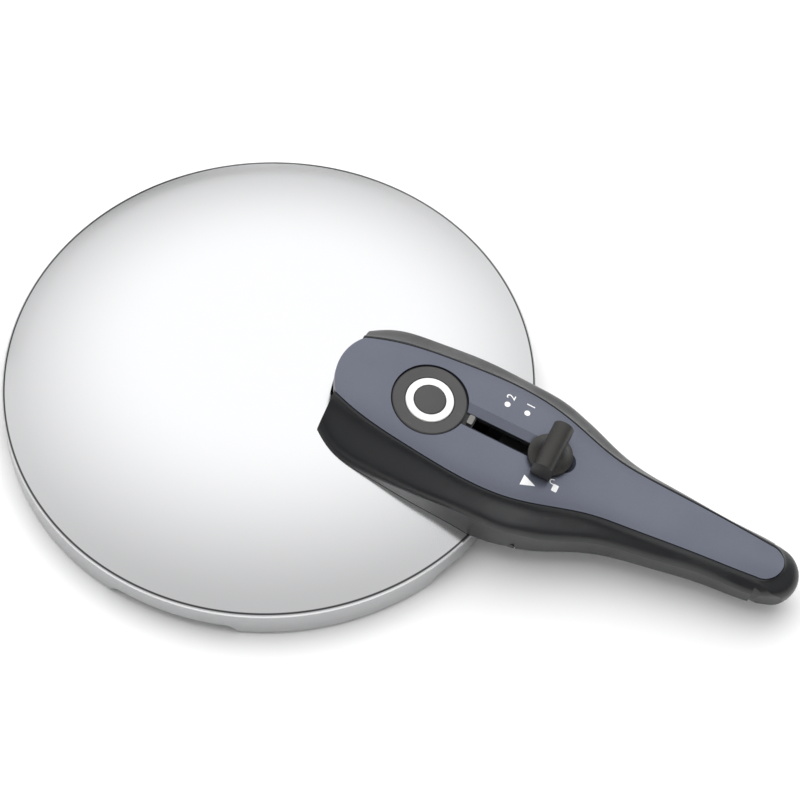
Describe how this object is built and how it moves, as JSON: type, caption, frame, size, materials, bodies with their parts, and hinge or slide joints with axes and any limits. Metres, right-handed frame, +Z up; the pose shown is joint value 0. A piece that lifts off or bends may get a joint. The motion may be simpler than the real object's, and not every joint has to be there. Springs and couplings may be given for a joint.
{
  "type": "pressure cooker lid",
  "caption": "Domed stainless pressure-cooker lid with bayonet tabs, a long black handle, a rising pressure indicator, valves and a slide lock.",
  "frame": {"origin": "centre of the lid, on the plane of the bayonet tabs' lower faces", "axes": "+X outward along the handle, +Z up out of the dome, +Y across the handle"},
  "size_m": [0.3814, 0.244, 0.0612],
  "materials": {
    "polished_steel": "mirror-polished stainless steel, satin inside",
    "satin_steel": "satin stainless steel",
    "brass": "turned brass",
    "seal_silicone": "matt grey silicone",
    "handle_black": "satin black phenolic",
    "cover_blue_grey": "fine satin blue-grey",
    "collar_charcoal": "satin charcoal",
    "indicator_white": "smooth white",
    "button_black": "satin black",
    "slide_nylon": "matt black nylon"
  },
  "bodies": {
    "lid": {"lid_shell": "polished_steel", "sealing_ring": "seal_silicone", "handle_body": "handle_black", "handle_cover": "cover_blue_grey", "lock_housing": "handle_black", "grip_underside": "handle_black", "cover_screws": "satin_steel", "bracket_screws": "satin_steel", "housing_screws": "satin_steel", "grip_screws": "satin_steel", "rim_bracket": "satin_steel", "fixing_insert": "brass", "fixing_gasket": "seal_silicone", "fixing_washer": "satin_steel", "fixing_screw": "satin_steel", "valve_bush": "satin_steel", "valve_gasket": "seal_silicone", "valve_nut": "satin_steel", "indicator_collar": "collar_charcoal", "indicator_spring": "satin_steel", "safety_body": "brass", "safety_gasket": "seal_silicone", "safety_nut": "satin_steel", "safety_spring": "satin_steel", "lock_pin_guide": "satin_steel", "slot_stop": "satin_steel", "detent_spring": "satin_steel"},
    "slider": {"slider_knob": "button_black", "slider_carriage": "slide_nylon", "lock_bolt": "satin_steel", "knob_screw": "satin_steel"},
    "indicator": {"indicator_stem": "satin_steel", "indicator_button": "collar_charcoal", "indicator_sleeve": "indicator_white", "valve_piston": "satin_steel", "piston_seal": "seal_silicone", "stem_clip": "satin_steel"},
    "safety_plunger": {"safety_plunger": "satin_steel", "safety_seat": "seal_silicone"},
    "lock_pin": {"lock_pin": "satin_steel", "lock_pin_seal": "seal_silicone"}
  },
  "joints": [
    {"name": "lock_slide", "type": "slide", "parent": "lid", "child": "slider", "axis": [-0.9842, 0, 0.1771], "range_m": [0, 0.027]},
    {"name": "pressure_rise", "type": "slide", "parent": "lid", "child": "indicator", "axis": [0.1771, 0, 0.9842], "range_m": [0, 0.008], "stiffness_N_per_m": 400, "springref_m": -0.004, "deforming": ["indicator_spring"]},
    {"name": "overpressure_lift", "type": "slide", "parent": "lid", "child": "safety_plunger", "axis": [0.1771, 0, 0.9842], "range_m": [0, 0.0015], "stiffness_N_per_m": 800, "springref_m": -0.001, "deforming": ["safety_spring"]},
    {"name": "lock_pin_rise", "type": "slide", "parent": "lid", "child": "lock_pin", "axis": [0.1771, 0, 0.9842], "range_m": [0, 0.002]}
  ]
}
